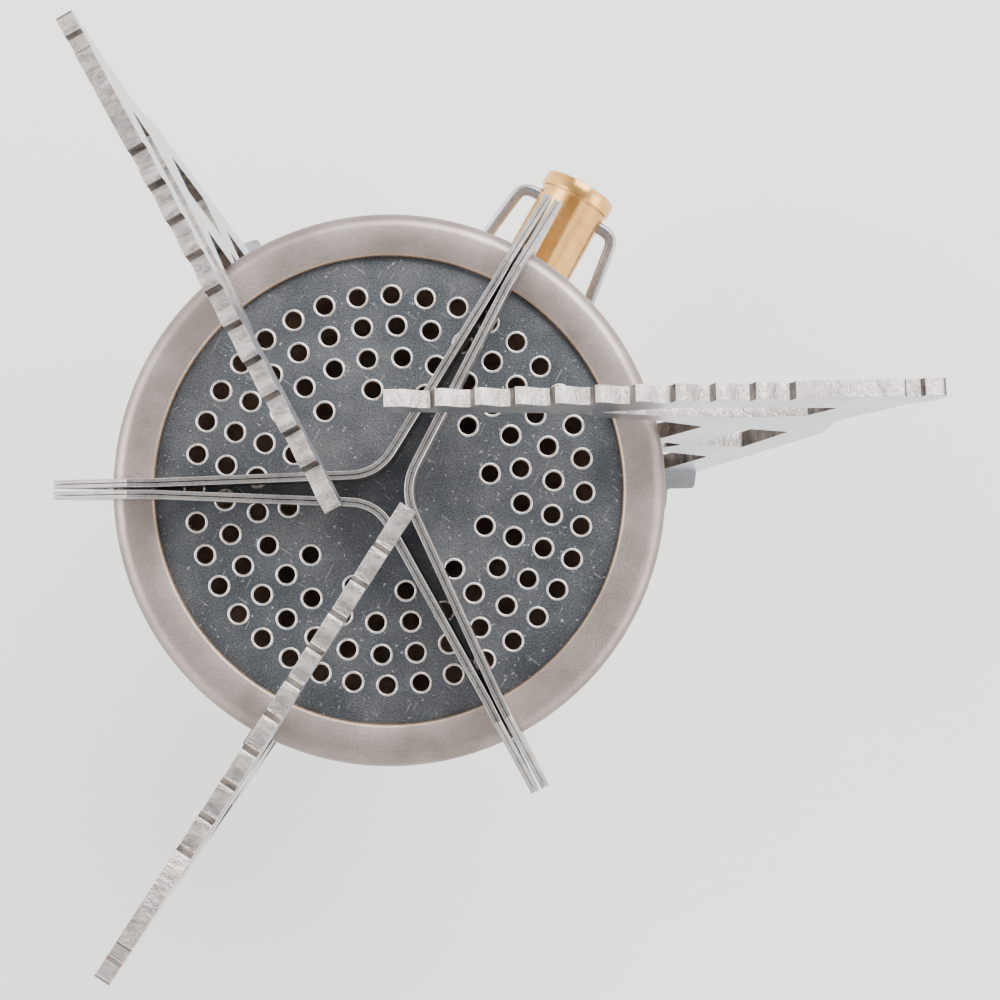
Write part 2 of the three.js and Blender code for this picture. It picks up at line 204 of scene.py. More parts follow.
def burner_metal():
    """Dark plate: mottled, finely speckled, with pale flecks and short scratches in two directions."""
    material, tree, shader = nodes_of("burner_metal")
    shader.inputs["Metallic"].default_value = 0.9
    vector = place_texture(tree)
    patches = noise(tree, vector, 0.16, 5.0)
    speckle = noise(tree, vector, 5.5, 3.0, 0.7)
    dust = noise(tree, vector, 2.3, 2.0, 0.5)
    tone = ramp(tree, patches, ((0.3, (0.075, 0.083, 0.092)), (0.5, (0.115, 0.122, 0.132)),
                                (0.72, (0.17, 0.174, 0.18))))
    grain = ramp(tree, speckle, ((0.34, (0.5, 0.52, 0.56)), (0.66, (1.45, 1.43, 1.4))))
    base = blend(tree, "MULTIPLY", 1.0, tone, grain)
    flecks = ramp(tree, dust, ((0.68, (0.0, 0.0, 0.0)), (0.74, (0.55, 0.54, 0.52))))
    base = blend(tree, "ADD", 0.6, base, flecks)
    for turn, start in ((35, 0.0), (118, 40.0)):
        lines = place_texture(tree, (0.25, 3.2, 1), turn=turn, shift=start)
        marks = ramp(tree, noise(tree, lines, 1.1, 1.0),
                     ((0.735, (0.0, 0.0, 0.0)), (0.77, (0.3, 0.29, 0.28))))
        base = blend(tree, "ADD", 0.45, base, marks)
    tree.links.new(base, shader.inputs["Base Color"])
    tree.links.new(spread(tree, speckle, 0.34, 0.5), shader.inputs["Roughness"])
    bump(tree, shader, speckle, 0.25, 0.025)
    return material


def rim_metal():
    """Satin titanium: patchy and warm, with a straw tint along the inner lip, a painted highlight band on top
    of the outer roll and painted shade darkening its outer side.
    """
    material, tree, shader = nodes_of("satin_titanium")
    shader.inputs["Metallic"].default_value = 1.0
    vector = place_texture(tree)
    patches = noise(tree, vector, 0.16, 4.0)
    fine = noise(tree, vector, 4.5, 4.0, 0.7)
    tone = ramp(tree, patches, ((0.3, (0.36, 0.30, 0.27)), (0.7, (0.56, 0.475, 0.435))))
    grey = ramp(tree, fine, ((0.34, (0.74, 0.73, 0.72)), (0.66, (1.0, 1.0, 1.0))))
    base = blend(tree, "MULTIPLY", 1.0, tone, grey)
    flat = place_texture(tree, (1, 1, 0))
    reach = tree.nodes.new("ShaderNodeVectorMath")
    reach.operation = "LENGTH"
    tree.links.new(flat, reach.inputs[0])
    share = spread(tree, reach.outputs["Value"], 0.0, 1.0, RIM_LIP_RADIUS - 0.5, RIM_RADIUS)
    # Bands by distance from the axis: the straw tint at the inner lip is the metal's own colour; the brighter
    # band on the roll is a painted highlight and the darkening over its outer side is painted shade.
    tint_and_painted_light_bands = ramp(tree, share, (
        (0.12, (1.25, 1.08, 0.86)), (0.17, (1.0, 1.0, 1.0)), (0.66, (1.0, 1.0, 1.0)),
        (0.76, (1.1, 1.1, 1.1)), (0.86, (0.78, 0.77, 0.76)), (1.0, (0.55, 0.53, 0.52)),
    ))
    tree.links.new(blend(tree, "MULTIPLY", 1.0, base, tint_and_painted_light_bands), shader.inputs["Base Color"])
    tree.links.new(spread(tree, fine, 0.36, 0.5), shader.inputs["Roughness"])
    bump(tree, shader, fine, 0.25, 0.02)
    return material


def sheared_metal(name, dark, light, rough):
    """Punched edges: a torn, uneven surface with marks running across the plate's thickness."""
    return metal(name, dark, light, rough, patch=0.8, grain=2.6, stretch=(1.0, 0.45, 1.0),
                 bump_strength=0.9, bump_depth=0.16, attribute="own_frame")


def turned_brass():
    """Brass with fine turning lines round the barrel's own axis."""
    material, tree, shader = nodes_of("turned_brass")
    shader.inputs["Metallic"].default_value = 1.0
    along = place_texture(tree, (9.0, 0.25, 0.25), "own_frame")
    lines = noise(tree, along, 1.0, 3.0)
    cloud = noise(tree, place_texture(tree, (1, 1, 1), "own_frame"), 0.35, 3.0)
    tone = ramp(tree, cloud, ((0.3, (0.66, 0.35, 0.10)), (0.7, (0.86, 0.49, 0.16))))
    rings = ramp(tree, lines, ((0.35, (0.86, 0.84, 0.8)), (0.65, (1.0, 1.0, 1.0))))
    tree.links.new(blend(tree, "MULTIPLY", 1.0, tone, rings), shader.inputs["Base Color"])
    tree.links.new(spread(tree, lines, 0.18, 0.28), shader.inputs["Roughness"])
    bump(tree, shader, lines, 0.25, 0.01)
    return material


def rubber():
    """Matt black rubber."""
    material, tree, shader = nodes_of("black_rubber")
    fine = noise(tree, place_texture(tree), 3.0)
    tree.links.new(ramp(tree, fine, ((0.3, (0.012,) * 3), (0.7, (0.03,) * 3))), shader.inputs["Base Color"])
    shader.inputs["Roughness"].default_value = 0.7
    bump(tree, shader, fine, 0.2, 0.02)
    return material


def heat_brown():
    """Inside of the cup: straw and brown heat tint."""
    return metal("heat_tinted", (0.16, 0.10, 0.075), (0.36, 0.25, 0.18), (0.45, 0.6), patch=0.2, grain=2.5)


RIM_METAL = rim_metal()
FACE_METAL = metal("support_face", (0.50, 0.51, 0.54), (0.64, 0.65, 0.68), (0.28, 0.40), patch=0.15,
                   grain=3.0, attribute="own_frame")
EDGE_METAL = sheared_metal("support_edge", (0.42, 0.375, 0.35), (0.74, 0.68, 0.64), (0.24, 0.44))
# Dark copy of the sheared edge metal: painted shade for the edge faces that do not face up.
SHADED_EDGE_METAL = sheared_metal("support_edge_painted_shade", (0.06, 0.052, 0.047), (0.27, 0.24, 0.22), (0.34, 0.5))
BLADE_METAL = metal("divider_steel", (0.36, 0.34, 0.325), (0.54, 0.51, 0.49), (0.24, 0.38), patch=0.4,
                    grain=3.5, bump_strength=0.4, bump_depth=0.04)
STEEL = metal("satin_steel", (0.36, 0.36, 0.37), (0.50, 0.50, 0.51), (0.24, 0.36), patch=0.2, grain=5.0)
# Pale metal for the drawn hole lips and bores, much lighter than the plate: a painted highlight where the
# rounded lips catch the light.
HOLE_HIGHLIGHT_METAL = metal("hole_lip_painted_highlight", (0.80, 0.74, 0.69), (0.95, 0.90, 0.86), (0.22, 0.34), patch=0.8, grain=5.0)
ALLOY = metal("machined_alloy", (0.29, 0.295, 0.31), (0.34, 0.345, 0.36), (0.28, 0.42), patch=0.15, grain=3.0,
              stretch=(1, 1, 6))
BURNER = burner_metal()
BRASS = turned_brass()
INNER_BRASS = metal("inner_brass", (0.6, 0.38, 0.15), (0.74, 0.48, 0.2), (0.3, 0.4))
RUBBER = rubber()
HEAT = heat_brown()


# ---------------------------------------------------------------- pieces

def finished(name, mesh, body, materials, nodes=(), sharp=35, bevel=0.0):
    """Links a mesh given in millimetres, in the shared frame, and hands it to the frame."""
    mesh.transform(Matrix.Scale(MM, 4))
    mesh.validate()
    for material in materials:
        mesh.materials.append(material)
    for face in mesh.polygons:
        face.use_smooth = True
    mesh.set_sharp_from_angle(angle=math.radians(sharp))
    piece = bpy.data.objects.new(name, mesh)
    bpy.context.scene.collection.objects.link(piece)
    if bevel:
        rounding = piece.modifiers.new("rounding", "BEVEL")
        rounding.width = bevel * MM
        rounding.segments = 3
        rounding.limit_method = "ANGLE"
        rounding.angle_limit = math.radians(sharp)
        rounding.harden_normals = True
    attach(piece, body)
    if nodes:
        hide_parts(*nodes)
    return piece


def lathe(profile, sides=96, closed=True):
    """Surface of revolution about Z from (radius, height) points; closed joins the last to the first."""
    made = bmesh.new()
    rings = []
    for radius, height in profile:
        if radius < 1e-6:
            rings.append([made.verts.new((0, 0, height))])
            continue
        turn = [2 * math.pi * step / sides for step in range(sides)]
        rings.append([made.verts.new((radius * math.cos(a), radius * math.sin(a), height)) for a in turn])
    pairs = list(zip(rings, rings[1:]))
    if closed:
        pairs.append((rings[-1], rings[0]))
    for low, high in pairs:
        for step in range(sides):
            after = (step + 1) % sides
            places = ((low, step), (low, after), (high, after), (high, step))
            corners = list(dict.fromkeys(ring[place % len(ring)] for ring, place in places))
            if len(corners) > 2:
                made.faces.new(corners)
    return made


def to_mesh(made, name):
    """Turns the working mesh into a finished one with its faces outward."""
    bmesh.ops.recalc_face_normals(made, faces=made.faces)
    mesh = bpy.data.meshes.new(name)
    made.to_mesh(mesh)
    made.free()
    return mesh


def arc(center, radius, start, end, steps=8):
    """Points on an arc; the angles are in degrees."""
    turn = [math.radians(start + (end - start) * step / steps) for step in range(steps + 1)]
    return [(center[0] + radius * math.cos(a), center[1] + radius * math.sin(a)) for a in turn]


def circle(x, y, radius, sides=32):
    return arc((x, y), radius, 0, 360 - 360 / sides, sides - 1)


def hexagon(across_corners):
    return arc((0, 0), across_corners, 0, 300, 5)


def slab(outline, bottom, top, holes=()):
    """Flat plate with holes between two heights."""
    made = bmesh.new()
    loops = [[made.verts.new((x, y, bottom)) for x, y in loop] for loop in (outline, *holes)]
    edges = []
    for loop in loops:
        edges += [made.edges.new((loop[i - 1], loop[i])) for i in range(len(loop))]
    filled = bmesh.ops.triangle_fill(made, use_beauty=True, edges=edges)
    faces = [face for face in filled["geom"] if isinstance(face, bmesh.types.BMFace)]
    grown = bmesh.ops.extrude_face_region(made, geom=faces)
    moved = [vertex for vertex in grown["geom"] if isinstance(vertex, bmesh.types.BMVert)]
    bmesh.ops.translate(made, verts=moved, vec=(0, 0, top - bottom))
    flat = [edge for edge in made.edges if len(edge.link_faces) == 2 and edge.calc_face_angle(1) < 1e-4]
    bmesh.ops.dissolve_limit(made, angle_limit=math.radians(0.1), verts=made.verts, edges=flat)
    return made


def carve(mesh, cutter, operation="DIFFERENCE"):
    """Cuts or joins two meshes and returns the result as a new mesh."""
    first = bpy.data.objects.new("carved", mesh)
    second = bpy.data.objects.new("cutter", cutter)
    for piece in (first, second):
        bpy.context.scene.collection.objects.link(piece)
    change = first.modifiers.new("cut", "BOOLEAN")
    change.operation = operation
    change.object = second
    change.solver = "EXACT"
    result = bpy.data.meshes.new_from_object(first.evaluated_get(bpy.context.evaluated_depsgraph_get()))
    for piece in (first, second):
        bpy.data.objects.remove(piece)
    return result


def turned_about(azimuth):
    return Matrix.Rotation(math.radians(azimuth), 4, "Z")


# From a piece turned about Z to its place along the barrel's axis
TO_BARREL = (Matrix.Translation((0, 0, BARREL_HEIGHT)) @ turned_about(BARREL_AZIMUTH)
             @ Matrix.Rotation(math.radians(90), 4, "Y"))


def keep_own_frame(mesh):
    """Stores the present coordinates, in millimetres, so that the texture follows the piece's own axes."""
    stored = mesh.attributes.new("own_frame", "FLOAT_VECTOR", "POINT")
    for index, vertex in enumerate(mesh.vertices):
        stored.data[index].vector = vertex.co


# ---------------------------------------------------------------- burner head

def burner_plate():
    """Perforated plate; each hole is drawn up into a small rounded lip, which is given a pale metal as a
    painted highlight.
    """
    sides = 28
    top, bottom = PLATE_TOP, PLATE_TOP - PLATE_THICKNESS
    centers = []
    for radius, count, start in HOLE_RINGS:
        for index in range(count):
            angle = math.radians(start + index * 360 / count)
            centers.append((radius * math.cos(angle), radius * math.sin(angle)))
    lips = [circle(x, y, HOLE_LIP, sides) for x, y in centers]
    made = bmesh.new()
    edges = []
    for height in (top, bottom):
        for loop in (circle(0, 0, PLATE_RADIUS, 160), *lips):
            ring = [made.verts.new((x, y, height)) for x, y in loop]
            edges.append([made.edges.new((ring[i - 1], ring[i])) for i in range(len(ring))])
    half = len(edges) // 2
    for part in (edges[:half], edges[half:]):
        bmesh.ops.triangle_fill(made, use_beauty=True, edges=[edge for ring in part for edge in ring])
    outer = [edges[0], edges[half]]
    bmesh.ops.bridge_loops(made, edges=outer[0] + outer[1])
    profile = [(HOLE_LIP, top), (HOLE_LIP - 0.03, top + 0.08), (HOLE_LIP - 0.09, top + 0.14),
               (HOLE_RADIUS + 0.09, top + 0.14), (HOLE_RADIUS + 0.02, top + 0.08), (HOLE_RADIUS, top - 0.05),
               (HOLE_RADIUS, bottom - 0.25), (HOLE_RADIUS + 0.12, bottom - 0.25), (HOLE_LIP, bottom)]
    for x, y in centers:
        rings = [[made.verts.new((px, py, height)) for px, py in circle(x, y, radius, sides)]
                 for radius, height in profile]
        for low, high in zip(rings, rings[1:]):
            for step in range(sides):
                face = made.faces.new((low[step - 1], low[step], high[step], high[step - 1]))
                # The lips and bores get the pale hole metal as a painted highlight.
                face.material_index = 1
    bmesh.ops.remove_doubles(made, verts=made.verts, dist=0.001)
    finished("burner_plate_fine", to_mesh(made, "burner_plate_fine"), "stove_body",
             (BURNER, HOLE_HIGHLIGHT_METAL), ("burner_plate",), sharp=50)


def rim_ring():
    """Flat lip, soft outer roll and a tucked-in lower edge."""
    under = PLATE_TOP + 0.3
    inside = RIM_RADIUS - 0.7
    roll = arc((RIM_RADIUS - 1.5, RIM_TOP - 1.5), 1.5, 0, 90, 12)
    lip = RIM_LIP_RADIUS
    profile = [(lip + 0.1, under), (28.5, under), (inside, 71.6), (inside, 70.2), (RIM_RADIUS - 0.25, 70.2),
               (RIM_RADIUS, 70.5), *roll, (lip + 0.35, RIM_TOP), (lip + 0.1, RIM_TOP - 0.1),
               (lip, RIM_TOP - 0.35), (lip, under + 0.1)]
    mesh = to_mesh(lathe(profile, 192), "rim_ring_fine")
    finished("rim_ring_fine", mesh, "stove_body", (RIM_METAL,), ("rim_ring",), sharp=50)


def burner_cup():
    """Funnel under the plate: pressed cone, straight wall and the ledge that carries the plate."""
    ledge = PLATE_TOP - PLATE_THICKNESS - 0.3
    wall = CUP_RADIUS - 1.3
    seat = PLATE_RADIUS + 0.3
    profile = [(5.9, CUP_BOTTOM), (8.6, CUP_BOTTOM), (9.4, 53.35), (24.6, 59.95), (25.9, 60.65), (27.0, 61.5),
               (27.6, 62.5), (CUP_RADIUS, 63.6), (CUP_RADIUS, ledge - 0.45), (28.0, ledge - 0.2),
               (29, ledge - 0.2), (29, ledge + 0.5), (seat, ledge + 0.5), (seat, ledge), (wall, ledge),
               (wall, 63.2), (24.9, 61.6), (8.7, CUP_BOTTOM + 0.9), (5.9, CUP_BOTTOM + 0.9)]
    mesh = to_mesh(lathe(profile, 144), "burner_cup_fine")
    for face in mesh.polygons:
        radius = math.hypot(face.center.x, face.center.y)
        face.material_index = int(radius < wall + 0.1 and face.normal.z > -0.2 and face.center.z > 54)
    finished("burner_cup_fine", mesh, "stove_body", (RIM_METAL, HEAT), ("burner_cup",), sharp=30)


def blade_profile(radius):
    """Bottom and top of the divider at a distance from the stove's axis."""
    bottom = PLATE_TOP + 0.3
    if radius > RIM_LIP_RADIUS - 0.3:
        bottom = RIM_TOP + 0.3
    if radius > RIM_RADIUS + 0.4:
        bottom = 67.5 + max(0.0, radius - 32) * 3 / (BLADE_REACH - 32)
    top = BLADE_TOP
    if radius > 27:
        top = BLADE_TOP - (radius - 27) * 3.8 / 4.7
    if radius > 31.7:
        top = 76.2 - (radius - 31.7) * 3.6 / (BLADE_REACH - 31.7)
    return bottom, top


def blade_stations():
    """Distances along a leg: every change of height gets its own pair of stations."""
    gap = (CHANNEL_CLOSES_AT - LEG_START) / 10
    inner = [LEG_START + gap * index for index in range(11)]
    steps = (RIM_LIP_RADIUS - 0.3, RIM_RADIUS + 0.4)
    pairs = [step + side for step in steps for side in (-0.01, 0.01)]
    return sorted([*inner, *pairs, 27.0, 28.5, 31.7, 33.5, BLADE_REACH])


def blade_path(first, second):
    """Centre line of one bent blade, from the end of one arm round the bend to the end of the next."""
    def on_arm(azimuth, radius, side):
        closed = min(1.0, max(0.0, (radius - LEG_START) / (CHANNEL_CLOSES_AT - LEG_START)))
        across = side * (CHANNEL + (CHANNEL_CLOSED - CHANNEL) * closed)
        angle = math.radians(azimuth)
        return Vector((radius * math.cos(angle) - across * math.sin(angle),
                       radius * math.sin(angle) + across * math.cos(angle)))
    stations = blade_stations()
    legs = [[on_arm(azimuth, radius, side) for radius in stations]
            for azimuth, side in ((first, 1), (second, -1))]
    bisector = math.radians((first + second) / 2)
    corner = Vector((math.cos(bisector), math.sin(bisector))) * BEND_CORNER
    bend = []
    for step in range(1, 10):
        t = step / 10
        bend.append(legs[0][0] * (1 - t) ** 2 + corner * 2 * t * (1 - t) + legs[1][0] * t ** 2)
    return legs[0][::-1] + bend + legs[1]


def divider_blade(index):
    """A sheet folded double: two layers with a fine seam between them along the top edge."""
    first = DIVIDER_ARMS[index]
    second = DIVIDER_ARMS[(index + 1) % 3] + (360 if index == 2 else 0)
    path = blade_path(first, second)
    made = bmesh.new()
    for layer in (-1, 1):
        faces_at = layer * (SHEET_GAP / 2), layer * (SHEET_GAP / 2 + SHEET)
        sections = []
        for step, point in enumerate(path):
            ahead = path[min(step + 1, len(path) - 1)] - path[max(step - 1, 0)]
            across = Vector((-ahead.y, ahead.x)).normalized()
            bottom, top = blade_profile(point.length)
            corners = []
            for offset, height in ((faces_at[0], bottom), (faces_at[1], bottom), (faces_at[1], top - 0.06),
                                   (faces_at[1] - layer * 0.08, top), (faces_at[0] + layer * 0.05, top),
                                   (faces_at[0], top - 0.05)):
                spot = point + across * offset
                corners.append(made.verts.new((spot.x, spot.y, height)))
            sections.append(corners)
        for before, after in zip(sections, sections[1:]):
            for corner in range(6):
                made.faces.new((before[corner - 1], before[corner], after[corner], after[corner - 1]))
        made.faces.new(sections[0])
        made.faces.new(sections[-1])
    node = f"divider_blade_{index + 1}"
    mesh = to_mesh(made, f"{node}_fine")
    finished(f"{node}_fine", mesh, "stove_body", (BLADE_METAL,), (node,))


# ---------------------------------------------------------------- pot supports

def tooth(start, top):
    """One scallop: a soft fall outward, a rounded bottom and a steep rise."""
    points = [(start + 0.3, top)]
    for step in range(1, 9):
        t = step / 8
        points.append((start + 0.3 + 2.5 * t, top - TOOTH_DEPTH * math.sin(t * math.pi / 2) ** 1.6))
    points += [(start + 3.15, top - 0.98 * TOOTH_DEPTH), (start + 3.42, top - 0.72 * TOOTH_DEPTH),
               (start + 3.55, top - 0.3 * TOOTH_DEPTH), (start + 3.66, top - 0.06), (start + 3.76, top)]
    return points


def rounded(points, radius, steps=5, closed=True):
    """Rounds the corners of an outline, by less where the sides are short; an open one keeps its ends."""
    result = []
    for index, point in enumerate(points):
        if not closed and index in (0, len(points) - 1):
            result.append(point)
            continue
        here = Vector(point)
        before = Vector(points[index - 1]) - here
        after = Vector(points[(index + 1) % len(points)]) - here
        cut = min(radius, before.length * 0.4, after.length * 0.4)
        start = here + before.normalized() * cut
        end = here + after.normalized() * cut
        for step in range(steps + 1):
            t = step / steps
            spot = start * (1 - t) ** 2 + here * 2 * t * (1 - t) + end * t ** 2
            result.append((spot.x, spot.y))
    return result


def support_outline():
    """Outline as outward and upward distances, before the plate is leant."""
    top = SUPPORT_HEIGHT
    teeth = [point for index in range(TOOTH_COUNT) for point in tooth(1.8 + index * TOOTH_PITCH, top)]
    tip = arc((55.9, top - 0.8), 0.95, 85, -30, 8)
    outside = [(56.2, top - 2.6), (53.8, 41.9), (51.8, 38.9), (50.2, 36.9), (48.7, 34.6), (47.95, 32.6),
               (48.1, 29.4), (47.9, 26.9), (36.95, 1.5), (36.5, 0.2)]
    inside = [(29.2, 0.2), (29.2, 24.3), (29.6, 24.9), (30.3, 25.5), (34, 31.8), (28.7, 35.8), (24.2, 37.5),
              (21.6, 38.9), (20.7, 40.5), (19.6, 40.9), (18.8, 40.8), (12, 41.9), (1.0, 43.3), (0.35, 43.8)]
    return [(0.3, top), *teeth, (52.5, top), (52.75, top - 0.45), (54.2, top - 0.5), (54.55, top + 0.1), *tip,
            *rounded(outside, 1.0, 3, False), *rounded(inside, 0.5, 2, False)]


TRUSS_OPENINGS = (
    ((22.4, 41), (29, 42.4), (38.8, 41.7), (46.9, 40.7), (44.2, 36.8), (36.3, 36.7), (29, 38.4)),
    ((34.6, 21), (39, 30), (43.9, 27.7), (40, 18.4)),
    ((30.8, 17), (36.9, 12.7), (32.5, 4.2), (30.8, 4.2)),
    ((30.8, 22.8), (33, 21), (30.8, 19.3)),
)

FOOT = ((36.9, 2.6), (28.2, 2.6), (26.4, 1.2), (25.9, -1.5), (27, -4.2), (29.5, -5.1), (31.6, -4.4), (33, -2),
        (33.2, 0.2), (36.5, 0.2))


def pot_support(index):
    """Leaning truss plate joined to its flat foot."""
    azimuth, top_offset = SUPPORTS[index]
    lean = math.atan2(top_offset - SUPPORT_OFFSET, SUPPORT_HEIGHT)
    half = SUPPORT_THICKNESS / 2
    openings = [rounded(list(opening)[::-1], 0.6, 4) for opening in TRUSS_OPENINGS]
    plate = to_mesh(slab(support_outline(), -half, half, openings), "plate")
    plate.transform(Matrix.Translation((0, SUPPORT_OFFSET, SUPPORT_BOTTOM))
                    @ Matrix.Rotation(math.radians(90) - lean, 4, "X"))
    foot = to_mesh(slab(rounded(list(FOOT), 0.4), SUPPORT_BOTTOM + 0.02, SUPPORT_BOTTOM + FOOT_THICKNESS,
                        [circle(*PIVOT, 1.8, 40)]), "foot")
    mesh = carve(plate, foot, "UNION")
    keep_own_frame(mesh)
    broad = Vector((0, math.cos(lean), -math.sin(lean)))
    # Edge faces that face up keep the pale sheared metal; all the others, opening walls and steep tooth faces
    # among them, get the dark copy as painted shade.
    for face in mesh.polygons:
        if abs(face.normal.dot(broad)) < 0.9 and face.center.z > 43.5:
            face.material_index = 1 if face.normal.z > 0.8 else 2
    mesh.transform(turned_about(azimuth))
    node = f"pot_support_{index + 1}"
    metals = (FACE_METAL, EDGE_METAL, SHADED_EDGE_METAL)
    finished(f"{node}_fine", mesh, f"support_{index + 1}", metals, (node,), bevel=0.13)


def support_hub():
    """Disc with three arms, bored for the mixing tube and for the rivets."""
    arm = rounded([(0, -4.9), (30.6, -4.9), (32.6, -3), (32.9, 0), (31.4, 1.7), (0, 1.7)], 1.5)
    disc = [(0, HUB_BOTTOM), (11, HUB_BOTTOM), (11, HUB_TOP), (0, HUB_TOP)]
    mesh = to_mesh(lathe(disc, closed=False), "hub")
    for azimuth, _ in SUPPORTS:
        reach = to_mesh(slab(arm, HUB_BOTTOM, HUB_TOP, [circle(*PIVOT, 1.8, 40)]), "arm")
        reach.transform(turned_about(azimuth))
        mesh = carve(mesh, reach, "UNION")
    bore = to_mesh(lathe([(0, 38), (5.9, 38), (5.9, 43), (0, 43)], closed=False), "bore")
    mesh = carve(mesh, bore)
    finished("support_hub_fine", mesh, "stove_body", (STEEL,), ("support_hub",),
             bevel=0.15)


def rivets_and_washers():
    """Domed rivet and spring washer at each support's pivot."""
    under = HUB_BOTTOM - 0.3
    over = SUPPORT_BOTTOM + FOOT_THICKNESS + 1.1
    dome = arc((0, over - 2.2), 3.1, 40, 88, 6)
    rivet = [(0, under - 1), (1.9, under - 1), (2.3, under - 0.7), (2.4, under), (1.5, under), (1.5, over),
             (2.4, over), *dome, (0, over + 0.9)]
    low = over - 0.8
    washer = [(1.8, low), (2.6, low), (2.6, low + 0.3), (1.8, low + 0.5)]
    for index, (azimuth, _) in enumerate(SUPPORTS):
        for word, profile, closed in (("support_rivet", rivet, False), ("spring_washer", washer, True)):
            mesh = to_mesh(lathe(profile, 48, closed), f"{word}_{index + 1}_fine")
            mesh.transform(turned_about(azimuth) @ Matrix.Translation((*PIVOT, 0)))
            finished(mesh.name, mesh, "stove_body", (STEEL,), (f"{word}_{index + 1}",))


# ---------------------------------------------------------------- stem and valve

def canister_connector():
    """Collar with a grooved socket for the canister's valve."""
    body = [(6.2, 0), (10.2, 0), (10.7, 0.25), (10.8, 0.8), (10.8, 5.9), (10.5, 6.4), (9.8, 7.0), (9.6, 7.4),
            (9.6, 10.8), (9.4, 11), (1.2, 11), (1.2, 8.2), (5.7, 8.2)]
    grooves = []
    for index in range(7):
        low = 1.0 + index * 0.9
        grooves += [(5.7, low), (5.45, low + 0.45)]
    mesh = to_mesh(lathe([*grooves[::-1], *body]), "canister_connector_fine")
    finished("canister_connector_fine", mesh, "stove_body", (ALLOY,), ("canister_connector",),
             sharp=30)


def valve_body():
    """Hexagon, upright barrel and side boss in one, bored along both axes."""
    upright = Matrix.Identity(4)
    tools = (
        ([(0, 16.5), (8, 16.5), (8, 32.6), (7.6, 33), (0, 33)], upright, "UNION"),
        ([(0, 0), (6.2, 0), (6.2, 15.2), (5.9, 15.5), (0, 15.5)], TO_BARREL, "UNION"),
        ([(0, 10), (1.6, 10), (1.6, 24), (0, 24)], upright, "DIFFERENCE"),
        ([(0, 23.5), (2.1, 23.5), (2.1, 28.2), (0, 28.2)], upright, "DIFFERENCE"),
        ([(0, 28), (3, 28), (3, 34), (0, 34)], upright, "DIFFERENCE"),
        ([(0, 0.6), (2, 0.6), (2, 11), (0, 11)], TO_BARREL, "DIFFERENCE"),
        ([(0, 10), (3.5, 10), (3.5, 16.5), (0, 16.5)], TO_BARREL, "DIFFERENCE"),
    )
    mesh = to_mesh(slab(hexagon(9.6), 11.3, 17), "valve_body_fine")
    for profile, place, operation in tools:
        tool = to_mesh(lathe(profile, 64, closed=False), "tool")
        tool.transform(place)
        mesh = carve(mesh, tool, operation)
    finished("valve_body_fine", mesh, "stove_body", (ALLOY,), ("valve_body",), bevel=0.25)


def mixing_tube():
    """Tube from the valve to the cup, with a flange, a collar and two pairs of air holes."""
    collar = CUP_BOTTOM - 0.3
    profile = [(TUBE_BORE, 33.3), (7.8, 33.3), (8, 33.5), (8, 34.3), (7.8, 34.5), (6.0, 34.5),
               (TUBE_RADIUS, 34.9), (TUBE_RADIUS, collar - 2.5), (5.8, collar - 2.3), (8, collar - 2.3),
               (8.2, collar - 2.1), (8.2, collar - 0.2), (8, collar), (TUBE_RADIUS, collar),
               (TUBE_RADIUS, 57), (TUBE_BORE, 57)]
    mesh = to_mesh(lathe(profile, 80), "mixing_tube_fine")
    for azimuth in AIR_HOLE_AZIMUTHS:
        bit = [(0, -10), (AIR_HOLE_RADIUS, -10), (AIR_HOLE_RADIUS, 10), (0, 10)]
        drill = to_mesh(lathe(bit, 40, closed=False), "drill")
        drill.transform(Matrix.Translation((0, 0, AIR_HOLE_HEIGHT)) @ turned_about(azimuth)
                        @ Matrix.Rotation(math.radians(90), 4, "Y"))
        mesh = carve(mesh, drill)
    finished("mixing_tube_fine", mesh, "stove_body", (STEEL,), ("mixing_tube",))


def hub_lock_nut():
    mesh = to_mesh(slab(hexagon(9), 41.8, 44.3, [circle(0, 0, 5.9, 64)]), "hub_lock_nut_fine")
    finished("hub_lock_nut_fine", mesh, "stove_body", (ALLOY,), ("hub_lock_nut",), bevel=0.3)


def gland_nut():
    """Hexagon outside the side boss, with a spigot inside it."""
    gland = to_mesh(slab(hexagon(6), 15.8, 20.8, [circle(0, 0, 1.9, 40)]), "gland")
    spigot = to_mesh(lathe([(1.9, 13.6), (3.1, 13.6), (3.1, 16.2), (1.9, 16.2)], 48), "spigot")
    mesh = carve(gland, spigot, "UNION")
    mesh.transform(TO_BARREL)
    finished("gland_nut_fine", mesh, "stove_body", (INNER_BRASS,), ("gland_nut",), bevel=0.3)


# ---------------------------------------------------------------- control barrel and bail

def control_knob():
    """Turned brass barrel: rounded ends, a fine line near the outer end, and the bail's cross hole."""
    radius, start, end = BARREL_RADIUS, BARREL_START, BARREL_END
    profile = [(0, 30.6), (1.8, 30.6), (1.8, start), (radius - 0.5, start), (radius - 0.15, start + 0.15),
               (radius, start + 0.5), (radius, 45.75), (radius + 0.06, 45.85), (radius + 0.3, 46.0),
               (5.0, 46.15), (5.0, 47.5), (4.9, 47.8), (4.65, 47.95), (4.3, end), (0, end)]
    mesh = to_mesh(lathe(profile, 128, closed=False), "barrel")
    drill = to_mesh(lathe([(0, -8), (1.1, -8), (1.1, 8), (0, 8)], 40, closed=False), "drill")
    drill.transform(Matrix.Translation((0, 0, BAIL_PIVOT)) @ Matrix.Rotation(math.radians(90), 4, "X"))
    mesh = carve(mesh, drill)
    mesh.transform(Matrix.Rotation(math.radians(90), 4, "Y"))
    keep_own_frame(mesh)
    mesh.transform(Matrix.Translation((0, 0, BARREL_HEIGHT)) @ turned_about(BARREL_AZIMUTH))
    finished("control_knob_fine", mesh, "knob", (BRASS,), ("control_knob",))


